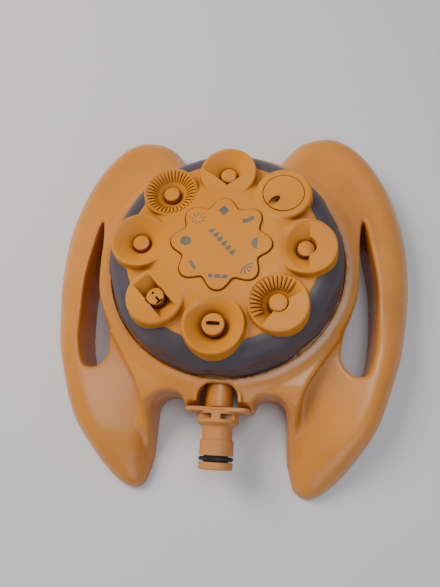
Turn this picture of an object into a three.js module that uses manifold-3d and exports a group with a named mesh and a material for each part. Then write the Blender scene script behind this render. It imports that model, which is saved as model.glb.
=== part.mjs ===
// Eight-pattern dial sprinkler: orange ground base, dark dial skirt and a lobed nozzle plate on a spindle.
// Millimetres, +Z up, hose connector towards -Y. Everything is laid out round the hub axis and shifted at
// the end by HUB_Y, so that the middle of the footprint is the origin.
import * as THREE from "three";
import { mergeVertices } from "three/addons/utils/BufferGeometryUtils.js";
import Module from "manifold-3d";

const wasm = await Module();
wasm.setup();

// ---- driving dimensions -------------------------------------------------------------------------
const GAP = 0.35; // clearance between separate pieces
const TAU = Math.PI * 2;

// Base
const HUB_Y = 11; // hub axis ahead of the middle of the footprint
const HUB_R = 68; // outer radius of the hub
const RIM_IN_R = 60.9; // the skirt turns inside this radius
const RIM_Z = 28.2; // top of the rim
const DECK_Z = 27; // hub deck, upper face
const DECK_UNDER_Z = 24; // hub deck, lower face
const WALL = 2.6; // moulded wall thickness
const POST_R = 6.9; // turret spindle post
const POST_Z = 43.2;
const SCREW_BORE_R = 2.3;
// One wing from its far end to its foot: outer edge x, y; inner edge x, y; ridge height; inner height.
const WING = [
  [22, 60, 19, 57.5, 22, 25],
  [31, 74.5, 25.5, 60, 22.5, 25.5],
  [40.5, 85.2, 33, 57.5, 22.5, 26],
  [52, 89.3, 41, 53, 22.5, 26],
  [63, 87.8, 48.5, 46, 22.5, 26],
  [74.3, 79.3, 55, 38, 22.5, 26],
  [85.3, 62, 60, 29, 22.5, 26],
  [92.7, 40, 64, 18, 22, 25.5],
  [96, 18, 66.5, 7, 21.5, 25],
  [96, -3, 66.5, -5, 21.5, 24.5],
  [94, -20, 65, -15, 21.5, 24],
  [89, -41.5, 61, -27, 22, 23],
  [82.3, -60.2, 56, -37, 23.8, 21],
  [74.9, -78.3, 47, -52, 23.4, 18.5],
  [65.2, -92.8, 35.2, -73, 21.6, 16],
  [56.5, -103, 34.1, -89, 17.5, 13],
  [47.5, -109.2, 34.3, -102, 12.5, 9.8],
  [38.5, -111.2, 35.2, -109, 7.5, 6.8],
];
const FREE_EDGE_FROM = 14; // wing stations from here on have a free inner edge
const WING_STEPS = 20;
const TOP_STEPS = 6;
const LEG_SPLIT_Y = -22; // the wing is made as a horn and a leg that meet here
const SLOT = [
  [73, 25], [75.2, 10], [76.8, -6], [76.6, -20], [74.6, -40], [70.5, -53.5], [66, -56], [61.5, -54],
  [58, -47.5], [59.6, -36], [63.7, -25.6], [67, -15], [68.6, 0], [69.4, 13], [71.2, 24.5],
];
// Raised apron between the legs, right half, from the hub to the cheek beside the connector.
const APRON = [
  [57.5, -38], [33.6, -72], [31.8, -70.2], [29.4, -68], [25, -66.9], [20.6, -67.3],
  [18, -69.2], [16.4, -72.9],
];
const APRON_Z = 26;
const DOOR_HALF = 9.3; // doorway for the water tube
const DOOR_TOP_Y = -62.6;
const DOOR_ARCH = 5.2; // rise of the doorway's arch
const RIB_ANGLES = [35, 90, 145];
const RIB_Z = 9;

// Water way
const PIPE_Z = 18.6; // axis of the connector and the tube
const PIPE_R = 6.8;
const PIPE_BORE_R = 4.4;
const PIPE_END_Y = -72.9;
const PORT_R = 40; // radius of the ring of cups; the outlet stands under the front one
const RISER_R = 8;
const RISER_Z = 29.4;
const SEAL_BORE_R = 6.3;
const SEAL_SEAT_Z = 23.9;
const RING_RECESS = [1.9, 3.5]; // widening and depth of the tube's mouth round the inlet ring
const INLET_RING_WIRE_R = 0.65;
const EAR_X = 13;
const EAR_HALF = 4;
const EAR_SCREW_R = 1.7;
const EAR_HEAD_R = 3.4;
const EAR_BOSS_R = 4.2;
const EAR_Z = [20.4, 23.6];
const TUBE_RIB_HALF = 1.2;
const SEAL_R = [3.2, 5.9];
const SEAL_Z = [27.4, 31.2];
const SEAL_CHAMFER = 0.6;
const SEAL_SPRING_R = 5.3;

// Hose connector, stations along -Y
const FLANGE_Y = [-73.3, -75.4];
const FLANGE_HALF = [15.5, 8.6];
const FLANGE_CORNER_R = 4;
const SPIGOT_Y = -70.2; // the connector's inner end, inside the tube's mouth
const COLLAR_R = 9.9;
const COLLAR_END_Y = -80.4;
const COLLAR_TAPER = 1.8;
const WINDOW_X = [1.6, 8.2]; // moulding windows through the collar
const WINDOW_Y = [-79, -76.6];
const WINDOW_RISE = [5.2, 12];
const NOSE_Y = [-88, -99.6];
const INLET_R = [4.6, 2.9]; // bore at the nose and behind the step
const BORE_STEP_Y = -82;
const NOSE_R = 7.95;
const WAIST_R = 7.2;
const RING_Y = -96;
const RING_WIRE_R = 1;
const RING_R = 7.15;
const TIP_Y = -100.7;

// Turret
const SKIRT_Z = 27.5;
const SKIRT_PROFILE = [[60.2, 27.5], [60.1, 30], [59.6, 34], [58.6, 37.4], [56.6, 40.8], [53.6, 44], [50, 46]];
const SKIRT_INSIDE = [[57.2, 33], [55.6, 38.2]];
const SKIRT_FLOOR = [38.2, 40.7];
const SCALLOPS = { depth: 1.5, z: 37, reach: 4.5, power: 1.5 }; // hollows between the cups
const DENTS = { depth: 1.1, z: 27.5, reach: 4, power: 4 }; // finger dents under the cups
const PLATE_Z = 49.6;
const PLATE_SKIN_Z = 47.2; // underside of the plate's top wall
const PLATE_FOOT_Z = 41.1;
const LOBES = 8;
const CUP_R = 13.9;
const WEB_R = 47.4; // contour between the cups
const SLEEVE_Z = 34.4;
const SLEEVE_R = 6.6;
const NOZZLE_R = 4.6;
const FEED_Z = 30; // the nozzle holes are cut from here up
const BOSS_R = 12;
const BEARING_R = 7.3;
const POCKET_R = 11.5;
const CAP_Z = [47.5, 50.3];
const CAP_R = [21.8, 2.5]; // mean radius and wave of the star
const DISC_Z = [31.5, 34];
const DISC_R = 50;
const PORT_HOLE_R = 3.6;
const DIMPLE_R = [2.4, 1];
const HUB_PLATE = [25.5, 44.8]; // radius and underside of the thick middle
const BUTTON_R = 4;
const BUTTON_CHAMFER = 0.5;
const STEM_R = 1.9;
const STEM_FOOT_Z = [35, 39];
const STEM_WING_HALF = 0.6;
const FAN_POST_R = 5.1;
const FAN_SLIT = [0.8, 2.9, 45.5]; // half width, half length, floor
const SLIT = [0.5, 1.6, 44]; // half width, start, floor
const EYE = [0.55, 0.2, -1.8]; // radius, x, y
const BUTTON_Z = 46.4; // tops of the deflector buttons
const HIGH_BUTTON_Z = 48.6; // tops of the taller inserts
const CUP_FLOOR_Z = 43.4;
const FACE_Z = 48.9; // flat faces inside the cups
const DISC_SEAT_R = 9.7;
const REST_TURN = -2; // the dial stands a little off its click stop

// Click plunger
const DETENT_R = 30;
const DETENT_BORE_R = 2.7;
const DETENT_FLOOR_Z = 23.4;
const DETENT_BOSS_R = 4.6;
const DETENT_BOSS_Z = 29.2;
const PLUNGER_R = 2.35;
const PLUNGER_Z = [27.2, 31.2];

// Spindle fastening
const WASHER_R = [2.3, 10.6];
const WASHER_Z = [43.55, 44.75];
const SPINDLE_SCREW_R = [1.95, 4.2];
const SPINDLE_SCREW_Z = [29, 45.1, 47.1]; // point, underside and top of the head

const ORANGE = { color: 0xc6843e, roughness: 0.45, metalness: 0 };
const CHARCOAL = { color: 0x4b464e, roughness: 0.4, metalness: 0 };
const GREY = { color: 0x3a3a3d, roughness: 0.5, metalness: 0 };
const RUBBER = { color: 0x1c1c1e, roughness: 0.6, metalness: 0 };
const STEEL = { color: 0xb9bcc0, roughness: 0.3, metalness: 1 };

// ---- building blocks ----------------------------------------------------------------------------
function solid(geometry) {
  const g = geometry.index ? geometry.clone() : geometry;
  for (const name of ["normal", "uv", "uv1", "color"]) g.deleteAttribute(name);
  const welded = mergeVertices(g, 1e-4);
  return new wasm.Manifold(new wasm.Mesh({
    numProp: 3,
    vertProperties: new Float32Array(welded.attributes.position.array),
    triVerts: new Uint32Array(welded.index.array),
  }));
}

function rod(r, z0, z1, x = 0, y = 0, segments = 32, rTop = r) {
  const g = new THREE.CylinderGeometry(rTop, r, z1 - z0, segments);
  g.rotateX(Math.PI / 2);
  g.translate(x, y, (z0 + z1) / 2);
  return solid(g);
}

function rodY(r, y0, y1, segments = 32, rEnd = r) {
  const g = new THREE.CylinderGeometry(rEnd, r, Math.abs(y1 - y0), segments);
  if (y1 < y0) g.rotateX(Math.PI);
  g.translate(0, (y0 + y1) / 2, 0);
  g.translate(0, 0, PIPE_Z);
  return solid(g);
}

function block(x0, x1, y0, y1, z0, z1) {
  const g = new THREE.BoxGeometry(x1 - x0, y1 - y0, z1 - z0);
  g.translate((x0 + x1) / 2, (y0 + y1) / 2, (z0 + z1) / 2);
  return solid(g);
}

function prism(points, z0, z1) {
  const shape = new THREE.Shape(points.map(([x, y]) => new THREE.Vector2(x, y)));
  const g = new THREE.ExtrudeGeometry(shape, { depth: z1 - z0, bevelEnabled: false });
  g.translate(0, 0, z0);
  return solid(g);
}

function turned(profile, segments = 48) {
  const g = new THREE.LatheGeometry(profile.map(([r, z]) => new THREE.Vector2(r, z)), segments);
  g.rotateX(Math.PI / 2);
  return outward(solid(g));
}

// Turns an inside-out closed mesh the right way.
function outward(body) {
  return body.volume() < 0 ? flipped(body) : body;
}

function flipped(body) {
  const mesh = body.getMesh();
  const tri = mesh.triVerts.slice();
  for (let i = 0; i < tri.length; i += 3) [tri[i + 1], tri[i + 2]] = [tri[i + 2], tri[i + 1]];
  return new wasm.Manifold(new wasm.Mesh({ numProp: 3, vertProperties: mesh.vertProperties, triVerts: tri }));
}

// Closed skin over rings of equal point count, with a fan over each end.
function skin(rings) {
  const n = rings[0].length;
  const points = rings.flat();
  const index = [];
  for (let k = 0; k + 1 < rings.length; k += 1) {
    for (let i = 0; i < n; i += 1) {
      const a = k * n + i;
      const b = k * n + ((i + 1) % n);
      index.push(a, b, a + n, b, b + n, a + n);
    }
  }
  for (const [k, turn] of [[0, 1], [rings.length - 1, 0]]) {
    const middle = rings[k].reduce((sum, p) => sum.map((v, j) => v + p[j] / n), [0, 0, 0]);
    const m = points.push(middle) - 1;
    for (let i = 0; i < n; i += 1) {
      const a = k * n + i;
      const b = k * n + ((i + 1) % n);
      index.push(...(turn ? [b, a, m] : [a, b, m]));
    }
  }
  const g = new THREE.BufferGeometry();
  g.setAttribute("position", new THREE.Float32BufferAttribute(points.flat(), 3));
  g.setIndex(index);
  return outward(solid(g));
}

// Stack of contours: levels of [z, radius function], n points round.
function stack(levels, n) {
  return skin(levels.map(([z, radius]) => Array.from({ length: n }, (_, i) => {
    const a = (i / n) * TAU;
    return [radius(a) * Math.cos(a), radius(a) * Math.sin(a), z];
  })));
}

function union(list) {
  return list.reduce((a, b) => a.add(b));
}

function placed(body, angle, radius) {
  return body.rotate([0, 0, angle]).translate([
    radius * Math.cos((angle * Math.PI) / 180), radius * Math.sin((angle * Math.PI) / 180), 0,
  ]);
}

function ring(body, count, radius, start = 0) {
  return union(Array.from({ length: count }, (_, i) => placed(body, start + (360 / count) * i, radius)));
}

// Moves every corner of a loop outwards by d.
function grown(points, d) {
  const n = points.length;
  const area = points.reduce((s, [x, y], i) => {
    const [u, v] = points[(i + 1) % n];
    return s + x * v - u * y;
  }, 0);
  const side = Math.sign(area) * d;
  return points.map(([x, y], i) => {
    const [px, py] = points[(i + n - 1) % n];
    const [qx, qy] = points[(i + 1) % n];
    const a = new THREE.Vector2(x - px, y - py).normalize();
    const b = new THREE.Vector2(qx - x, qy - y).normalize();
    const t = a.clone().add(b).normalize();
    const reach = side / Math.max(0.5, Math.abs(t.dot(b)));
    return [x + t.y * reach, y - t.x * reach];
  });
}

function smooth(points, count) {
  const corners = points.map(([x, y]) => new THREE.Vector3(x, y, 0));
  const curve = new THREE.CatmullRomCurve3(corners, true, "centripetal");
  return curve.getPoints(count).slice(0, count).map((p) => [p.x, p.y]);
}

const mirrored = (points) => points.map(([x, y]) => [-x, y]).reverse();
const bothSides = (body) => body.add(body.mirror([1, 0, 0]));

class Helix extends THREE.Curve {
  constructor(radius, z0, z1, turns) {
    super();
    Object.assign(this, { radius, z0, z1, turns });
  }

  getPoint(t, target = new THREE.Vector3()) {
    const a = t * this.turns * TAU;
    const z = this.z0 + t * (this.z1 - this.z0);
    return target.set(this.radius * Math.cos(a), this.radius * Math.sin(a), z);
  }
}

// Coil spring standing on z0, its top at z1.
function spring(radius, wire, z0, z1, turns) {
  return wound(new Helix(radius, z0 + wire, z1 - wire, turns), turns * 9, wire);
}

function wound(curve, steps, wire) {
  const frames = curve.computeFrenetFrames(steps, false);
  const rings = [];
  for (let i = 0; i <= steps; i += 1) {
    const p = curve.getPointAt(i / steps);
    rings.push(Array.from({ length: 6 }, (_, k) => {
      const a = (k / 6) * TAU;
      const v = p.clone()
        .addScaledVector(frames.normals[i], wire * Math.cos(a))
        .addScaledVector(frames.binormals[i], wire * Math.sin(a));
      return [v.x, v.y, v.z];
    }));
  }
  return skin(rings);
}

// ---- base ---------------------------------------------------------------------------------------
// The wing's stations, evenly spaced along a smooth curve through the listed ones.
function wingStations() {
  const channel = (i, j) => new THREE.CatmullRomCurve3(
    WING.map((row) => new THREE.Vector3(row[i], row[j], 0)), false, "centripetal",
  );
  const outer = channel(0, 1);
  const inner = channel(2, 3);
  return Array.from({ length: WING_STEPS + 1 }, (_, k) => {
    const t = k / WING_STEPS;
    const place = t * (WING.length - 1);
    const i = Math.min(WING.length - 2, Math.floor(place));
    const between = (j) => WING[i][j] + (WING[i + 1][j] - WING[i][j]) * (place - i);
    return {
      outer: outer.getPoint(t),
      inner: inner.getPoint(t),
      ridge: between(4),
      root: between(5),
      free: THREE.MathUtils.smoothstep(place, FREE_EDGE_FROM - 1, FREE_EDGE_FROM + 1),
    };
  });
}

// Height of the wing's top at u (0 inner edge, 1 outer edge).
function wingTop(station, u) {
  const crown = THREE.MathUtils.lerp(station.root, station.ridge, THREE.MathUtils.smoothstep(u, 0, 0.55));
  const over = Math.max(0, (u - 0.5) / 0.5);
  const outerFall = Math.pow(1 - Math.pow(over, 2.4), 1 / 2.4);
  const under = Math.max(0, (0.34 - u) / 0.34) * station.free;
  const innerFall = Math.pow(1 - Math.pow(under, 2.6), 1 / 2.6);
  const foot = 0.3;
  return crown * (foot + (1 - foot) * Math.min(outerFall, innerFall));
}

function wingRings(inset, floor) {
  return wingStations().map((station) => {
    const across = station.outer.clone().sub(station.inner);
    const width = across.length();
    across.normalize();
    const from = inset * station.free;
    const to = width - inset;
    const at = (d) => station.inner.clone().addScaledVector(across, d);
    const top = Array.from({ length: TOP_STEPS + 1 }, (_, i) => {
      const u = (1 - Math.cos((Math.PI * i) / TOP_STEPS)) / 2;
      const p = at(THREE.MathUtils.lerp(from, to, u));
      return [p.x, p.y, wingTop(station, u) - inset];
    });
    const a = at(from);
    const b = at(to);
    return [[a.x, a.y, floor], ...top, [b.x, b.y, floor]];
  });
}

const apronLoop = [...APRON, ...mirrored(APRON)];
const hubPlug = (clear) => rod(HUB_R + clear, -2, 40, 0, 0, 56);

// One hollow wing, clear of the hub and the apron.
function makeWing() {
  const slot = prism(smooth(SLOT, 20), -2, 40);
  const slotWall = prism(grown(smooth(SLOT, 20), WALL), -2, 40);
  const hollow = skin(wingRings(WALL, -1).slice(1, -1)).subtract(slotWall);
  return skin(wingRings(0, 0))
    .subtract(hollow)
    .subtract(slot)
    .subtract(hubPlug(GAP))
    .subtract(prism(grown(apronLoop, GAP), -1, 40));
}

const horn = (wing) => wing.subtract(block(0, 120, -130, LEG_SPLIT_Y + GAP, -1, 40));
const leg = (wing) => wing.subtract(block(0, 120, LEG_SPLIT_Y, 130, -1, 40));

function makeHub() {
  const apron = prism(apronLoop, 0, APRON_Z);
  const apronHollow = prism(grown(apronLoop, -WALL), -1, APRON_Z - WALL);
  const hub = turned([
    [0, 0], [HUB_R, 0], [HUB_R, 24.5], [67.3, 26.6], [65.6, 27.8], [62.6, RIM_Z], [RIM_IN_R, 27.8],
    [RIM_IN_R, DECK_Z], [POST_R + 4, DECK_Z], [POST_R, DECK_Z + 3], [POST_R, POST_Z], [0, POST_Z],
  ], 56);
  const hubHollow = turned([
    [0, -1], [HUB_R - WALL, -1], [HUB_R - WALL, DECK_UNDER_Z - 1], [HUB_R - WALL - 1, DECK_UNDER_Z],
    [POST_R + 1, DECK_UNDER_Z], [POST_R, DECK_UNDER_Z - 6], [0, DECK_UNDER_Z - 6],
  ], 40);
  const rib = block(14, HUB_R - 1, -1.1, 1.1, RIB_Z, DECK_UNDER_Z + 1);
  const ribs = union(RIB_ANGLES.map((a) => rib.rotate([0, 0, a])));
  const earBoss = rod(EAR_BOSS_R, DECK_UNDER_Z - 0.05, DECK_UNDER_Z + 1, EAR_X, -PORT_R, 20);
  const detentBoss = rod(DETENT_BOSS_R, DECK_UNDER_Z - 2, DETENT_BOSS_Z, 0, DETENT_R, 24);
  return apron.add(hub)
    .subtract(hubHollow)
    .subtract(apronHollow.subtract(hubPlug(-0.4)))
    .add(ribs)
    .add(bothSides(earBoss))
    .add(detentBoss)
    .subtract(doorway())
    .subtract(block(-PIPE_R - GAP, PIPE_R + GAP, -64, -PORT_R, 5, PIPE_Z + PIPE_R + GAP))
    .subtract(rod(RISER_R + GAP, 5, 40, 0, -PORT_R))
    .subtract(rod(SCREW_BORE_R, 26, POST_Z + 1, 0, 0, 20))
    .subtract(bothSides(rod(EAR_SCREW_R + GAP, 15, DECK_UNDER_Z + 2, EAR_X, -PORT_R, 16)))
    .subtract(rod(DETENT_BORE_R, DETENT_FLOOR_Z, 40, 0, DETENT_R, 24));
}

// Arched opening for the tube, cut down through the cheeks.
function doorway() {
  const spring = DOOR_TOP_Y - DOOR_ARCH;
  const steps = 10;
  const arch = Array.from({ length: steps + 1 }, (_, i) => {
    const a = (Math.PI * i) / steps;
    return [DOOR_HALF * Math.cos(a), spring + DOOR_ARCH * Math.sin(a)];
  });
  return prism([[-DOOR_HALF, -90], [DOOR_HALF, -90], ...arch], -2, 40);
}

// ---- water way ----------------------------------------------------------------------------------
function makeTube() {
  const inner = -PORT_R + RISER_R + 1;
  return rodY(PIPE_R, PIPE_END_Y, -PORT_R)
    .add(rod(RISER_R, PIPE_Z - PIPE_R - 1, RISER_Z, 0, -PORT_R))
    .add(block(-EAR_X - EAR_HALF, EAR_X + EAR_HALF, -PORT_R - EAR_HALF, -PORT_R + EAR_HALF, ...EAR_Z))
    .add(block(-TUBE_RIB_HALF, TUBE_RIB_HALF, -PORT_R, inner + 4, PIPE_Z - PIPE_R, EAR_Z[1]))
    .subtract(rodY(PIPE_BORE_R, PIPE_END_Y - 1, -PORT_R))
    .subtract(rodY(PIPE_BORE_R + RING_RECESS[0], PIPE_END_Y - 1, PIPE_END_Y + RING_RECESS[1]))
    .subtract(rod(PIPE_BORE_R, PIPE_Z - PIPE_BORE_R, RISER_Z + 1, 0, -PORT_R))
    .subtract(rod(SEAL_BORE_R, SEAL_SEAT_Z, RISER_Z + 1, 0, -PORT_R))
    .subtract(bothSides(rod(EAR_SCREW_R + GAP, 10, 30, EAR_X, -PORT_R, 16)));
}

function makeConnector() {
  const [fy0, fy1] = FLANGE_Y;
  const [fx, fz] = FLANGE_HALF;
  const [y0, y1] = NOSE_Y;
  const loop = [];
  for (const [sx, sz, start] of [[1, 1, 0], [-1, 1, 90], [-1, -1, 180], [1, -1, 270]]) {
    for (let i = 0; i <= 4; i += 1) {
      const a = ((start + i * 22.5) * Math.PI) / 180;
      loop.push([
        sx * (fx - FLANGE_CORNER_R) + FLANGE_CORNER_R * Math.cos(a),
        sz * (fz - FLANGE_CORNER_R) + FLANGE_CORNER_R * Math.sin(a),
      ]);
    }
  }
  const flange = prism(loop, 0, fy0 - fy1).rotate([90, 0, 0]).translate([0, fy0, PIPE_Z]);
  const parts = [
    flange,
    rodY(COLLAR_R, fy1 + 0.5, COLLAR_END_Y, 28),
    rodY(COLLAR_R, COLLAR_END_Y, COLLAR_END_Y - COLLAR_TAPER, 28, WAIST_R),
    rodY(WAIST_R, COLLAR_END_Y - 1, y0, 28),
    rodY(WAIST_R, y0 + 1, y0, 28, NOSE_R),
    rodY(NOSE_R, y0, y1, 28),
    rodY(NOSE_R, y1, TIP_Y, 28, NOSE_R - 0.9),
    rodY(PIPE_BORE_R - GAP, SPIGOT_Y, fy1 - 0.6, 24),
  ];
  const window = block(...WINDOW_X, ...WINDOW_Y, PIPE_Z + WINDOW_RISE[0], PIPE_Z + WINDOW_RISE[1]);
  const groove = rodY(NOSE_R + 2, RING_Y + 1.4, RING_Y - 1.4, 28)
    .subtract(rodY(RING_R - RING_WIRE_R - GAP, RING_Y + 2, RING_Y - 2, 28));
  return union(parts)
    .subtract(bothSides(window))
    .subtract(bothSides(window).mirror([0, 0, 1]).translate([0, 0, 2 * PIPE_Z]))
    .subtract(groove)
    .subtract(rodY(INLET_R[1], SPIGOT_Y + 10, BORE_STEP_Y, 24))
    .subtract(rodY(INLET_R[0], BORE_STEP_Y + 0.1, TIP_Y - 10, 24));
}

function hoopY(radius, wire, y, segments = 28) {
  const g = new THREE.TorusGeometry(radius, wire, 6, segments);
  g.rotateX(Math.PI / 2);
  g.translate(0, y, PIPE_Z);
  return outward(solid(g));
}

// ---- turret -------------------------------------------------------------------------------------
// Angle from the nearest cup's axis, never negative.
function wrap(angle) {
  const step = TAU / LOBES;
  const turn = ((angle % step) + step) % step;
  return Math.min(turn, step - turn);
}

// Contour of the nozzle plate: a ring of cup circles blended into a disc.
function lobed(cup, web) {
  return (a) => {
    const off = wrap(a);
    const chord = cup * cup - (PORT_R * Math.sin(off)) ** 2;
    const lobe = chord > 0 ? PORT_R * Math.cos(off) + Math.sqrt(chord) : 0;
    const blend = 1.2;
    const high = Math.max(lobe, web);
    return high + blend * Math.log1p(Math.exp(-Math.abs(lobe - web) / blend)) * 0.8;
  };
}

function plateStack(extra, foot, top) {
  const n = 72;
  const levels = [[foot, lobed(CUP_R + 1.4 + extra, WEB_R + 1.6 + extra)]];
  levels.push([PLATE_Z - 1, lobed(CUP_R + extra, WEB_R + extra)]);
  levels.push([top, lobed(CUP_R - (extra > 0 ? 0 : 0.7) + extra, WEB_R - (extra > 0 ? 0 : 0.7) + extra)]);
  return stack(levels, n);
}

function makeSkirt() {
  const hollow = (shape, wave, z) => (
    shape.depth * Math.max(0, wave) ** shape.power * Math.exp(-(((z - shape.z) / shape.reach) ** 2))
  );
  const scallop = (a, z) => {
    const wave = Math.cos(LOBES * a);
    return hollow(SCALLOPS, -wave, z) + hollow(DENTS, wave, z);
  };
  const outer = stack(
    [...SKIRT_PROFILE, [44, 47]].map(([r, z]) => [z, (a) => r - scallop(a, z)]), 64,
  );
  const inside = turned([
    [0, SKIRT_Z - 1], [SKIRT_INSIDE[0][0], SKIRT_Z - 1], ...SKIRT_INSIDE, [0, SKIRT_FLOOR[0]],
  ], 40);
  return outer
    .subtract(inside)
    .subtract(plateStack(GAP, SKIRT_FLOOR[1], 60))
    .subtract(ring(rod(SLEEVE_R + GAP + 0.3, 30, 50, 0, 0, 12), LOBES, PORT_R))
    .subtract(rod(BOSS_R + GAP, 30, 50, 0, 0, 24));
}

const cone = (r = CUP_R - 1.5, segments = 24) => rod(NOZZLE_R, CUP_FLOOR_Z, PLATE_Z + 0.3, 0, 0, segments, r);
const facePan = () => rod(CUP_R - 1.7, FACE_Z, PLATE_Z + 1, 0, 0, 24);
const nozzleHole = (r = NOZZLE_R) => rod(r, FEED_Z, PLATE_Z + 1, 0, 0, 12);

// What each cup removes from the plate, outward direction along +X.
const CUPS = {
  right: { angle: 0, cut: () => cone().subtract(block(1.4, 20, -20, 20, FEED_Z, FACE_Z)).add(nozzleHole()) },
  topRight: { angle: 45, cut: () => facePan().add(rod(DISC_SEAT_R, 45.2, 60, 0, 0, 32)).add(nozzleHole(3)) },
  top: { angle: 90, cut: () => cone().intersect(fan(52)).add(facePan()).add(nozzleHole()) },
  topLeft: { angle: 135, cut: () => cone().add(nozzleHole()) },
  left: { angle: 180, cut: () => cone().add(nozzleHole()) },
  bottomLeft: { angle: 225, cut: () => facePan().add(channel()).add(nozzleHole(NOZZLE_R + 0.1)) },
  bottom: { angle: 270, cut: () => cone().add(nozzleHole(5.6)) },
  bottomRight: {
    angle: 315,
    cut: () => cone().subtract(block(0.6, 20, -20, 20, FEED_Z, FACE_Z)).add(facePan()).add(nozzleHole()),
  },
};

function fan(half) {
  const a = (half * Math.PI) / 180;
  const reach = 30;
  return prism([[-6, 0], [reach * Math.cos(a) - 6, -reach * Math.sin(a)], [reach, 0],
    [reach * Math.cos(a) - 6, reach * Math.sin(a)]], 30, 60);
}

// Straight trough across the cup with ramped ends.
function channel() {
  const half = 4.9;
  const g = prism([[-11, PLATE_Z + 1], [-9.6, FACE_Z], [-5.4, CUP_FLOOR_Z + 0.4], [5.4, CUP_FLOOR_Z + 0.4],
    [9.6, FACE_Z], [11, PLATE_Z + 1]], -half, half);
  return g.rotate([90, 0, 0]).rotate([0, 0, 90]);
}

const starRadius = (extra) => (a) => CAP_R[0] + extra + CAP_R[1] * Math.cos(LOBES * a);

function makePlate() {
  const cupFoot = rod(CUP_R - 0.2, PLATE_FOOT_Z + 0.4, PLATE_SKIN_Z + 0.5, 0, 0, 16);
  const sleeve = rod(SLEEVE_R, SLEEVE_Z, CUP_FLOOR_Z, 0, 0, 12);
  const hollow = stack([
    [PLATE_FOOT_Z - 1, lobed(CUP_R - 1, WEB_R - 0.8)],
    [PLATE_SKIN_Z, lobed(CUP_R - 2, WEB_R - 1.8)],
  ], 48);
  const cuts = Object.values(CUPS).map(({ angle, cut }) => placed(cut(), angle, PORT_R));
  return plateStack(0, PLATE_FOOT_Z, PLATE_Z)
    .subtract(hollow)
    .add(ring(cupFoot, LOBES, PORT_R))
    .add(ring(sleeve, LOBES, PORT_R))
    .add(rod(BOSS_R, SLEEVE_Z, PLATE_SKIN_Z, 0, 0, 24))
    .add(rod(HUB_PLATE[0], HUB_PLATE[1], PLATE_SKIN_Z + 0.5, 0, 0, 32))
    .subtract(union(cuts))
    .subtract(stack([[CAP_Z[0] - GAP, starRadius(GAP)], [PLATE_Z + 1, starRadius(GAP)]], 64))
    .subtract(rod(POCKET_R, POST_Z - 0.3, 60, 0, 0, 24))
    .subtract(rod(BEARING_R, 30, 60, 0, 0, 24));
}

function makeCap() {
  return stack([
    [CAP_Z[0], starRadius(0)], [CAP_Z[1] - 0.5, starRadius(0)], [CAP_Z[1], starRadius(-0.6)],
  ], 64);
}

function makePortDisc() {
  const ports = ring(rod(PORT_HOLE_R, DISC_Z[0] - 1, DISC_Z[1] + 1, 0, 0, 10), LOBES, PORT_R);
  const dimple = rod(DIMPLE_R[0], DISC_Z[0] - 0.01, DISC_Z[0] + 1, 0, 0, 6, DIMPLE_R[1]);
  return rod(DISC_R, DISC_Z[0], DISC_Z[1], 0, 0, 56)
    .subtract(ports)
    .subtract(rod(BEARING_R, 20, 40, 0, 0, 24))
    .subtract(ring(dimple, LOBES, DETENT_R, 90));
}

// Button on a stem with a three-winged foot that centres it in the nozzle bore.
function makePin(head, top) {
  const [z0, z1] = STEM_FOOT_Z;
  const wing = block(0, NOZZLE_R - GAP, -STEM_WING_HALF, STEM_WING_HALF, z0, z1);
  const foot = union([0, 120, 240].map((a) => wing.rotate([0, 0, a])));
  return rod(head, CUP_FLOOR_Z - 1.2, top - BUTTON_CHAMFER, 0, 0, 20)
    .add(rod(head, top - BUTTON_CHAMFER, top, 0, 0, 20, head - BUTTON_CHAMFER))
    .add(rod(STEM_R, z0, CUP_FLOOR_Z - 1, 0, 0, 10))
    .add(foot);
}

function makeFanPost() {
  const [half, reach, floor] = FAN_SLIT;
  return makePin(FAN_POST_R, HIGH_BUTTON_Z)
    .subtract(block(-half, half, -reach, reach, floor, PLATE_Z))
    .subtract(rod(half, STEM_FOOT_Z[0] - 1, floor + 0.5, 0, 0, 12));
}

function makeJetBarrel() {
  const [half, start, floor] = SLIT;
  const [r, x, y] = EYE;
  return makePin(NOZZLE_R - GAP, HIGH_BUTTON_Z)
    .subtract(block(-half, half, start, NOZZLE_R + 1, floor, PLATE_Z))
    .subtract(rod(r, STEM_FOOT_Z[0] - 1, PLATE_Z, x, y, 12));
}

function makeJetDisc() {
  const drop = prism([[-6.6, 0], [-5.6, -1.5], [-3.6, -2.1], [-1.2, -1.4], [-0.4, 0], [-1.2, 1.4], [-3.6, 2.1],
    [-5.6, 1.5]], 47.4, 60);
  return rod(DISC_SEAT_R - GAP, 45.6, FACE_Z, 0, 0, 48)
    .subtract(drop)
    .subtract(rod(0.8, 30, 60, -1.6, 0, 12));
}

// ---- small parts --------------------------------------------------------------------------------
function makeSeal() {
  const [r0, r1] = SEAL_R;
  const [z0, z1] = SEAL_Z;
  const c = SEAL_CHAMFER;
  const loop = [[r0, z0], [r1, z0], [r1, z1 - c], [r1 - c, z1], [r0 + c, z1], [r0, z1 - c], [r0, z0]];
  return turned(loop, 32).translate([0, -PORT_R, 0]);
}

function makePlunger() {
  const [z0, z1] = PLUNGER_Z;
  const nose = [[PLUNGER_R, z1 - 1.6], [PLUNGER_R - 0.55, z1 - 0.5], [PLUNGER_R - 1.55, z1], [0, z1]];
  return turned([[0, z0], [PLUNGER_R, z0], ...nose], 20).translate([0, DETENT_R, 0]);
}

function makeWasher() {
  const [r0, r1] = WASHER_R;
  const [z0, z1] = WASHER_Z;
  return turned([[r0, z0], [r1, z0], [r1, z1], [r0, z1], [r0, z0]], 28);
}

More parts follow.
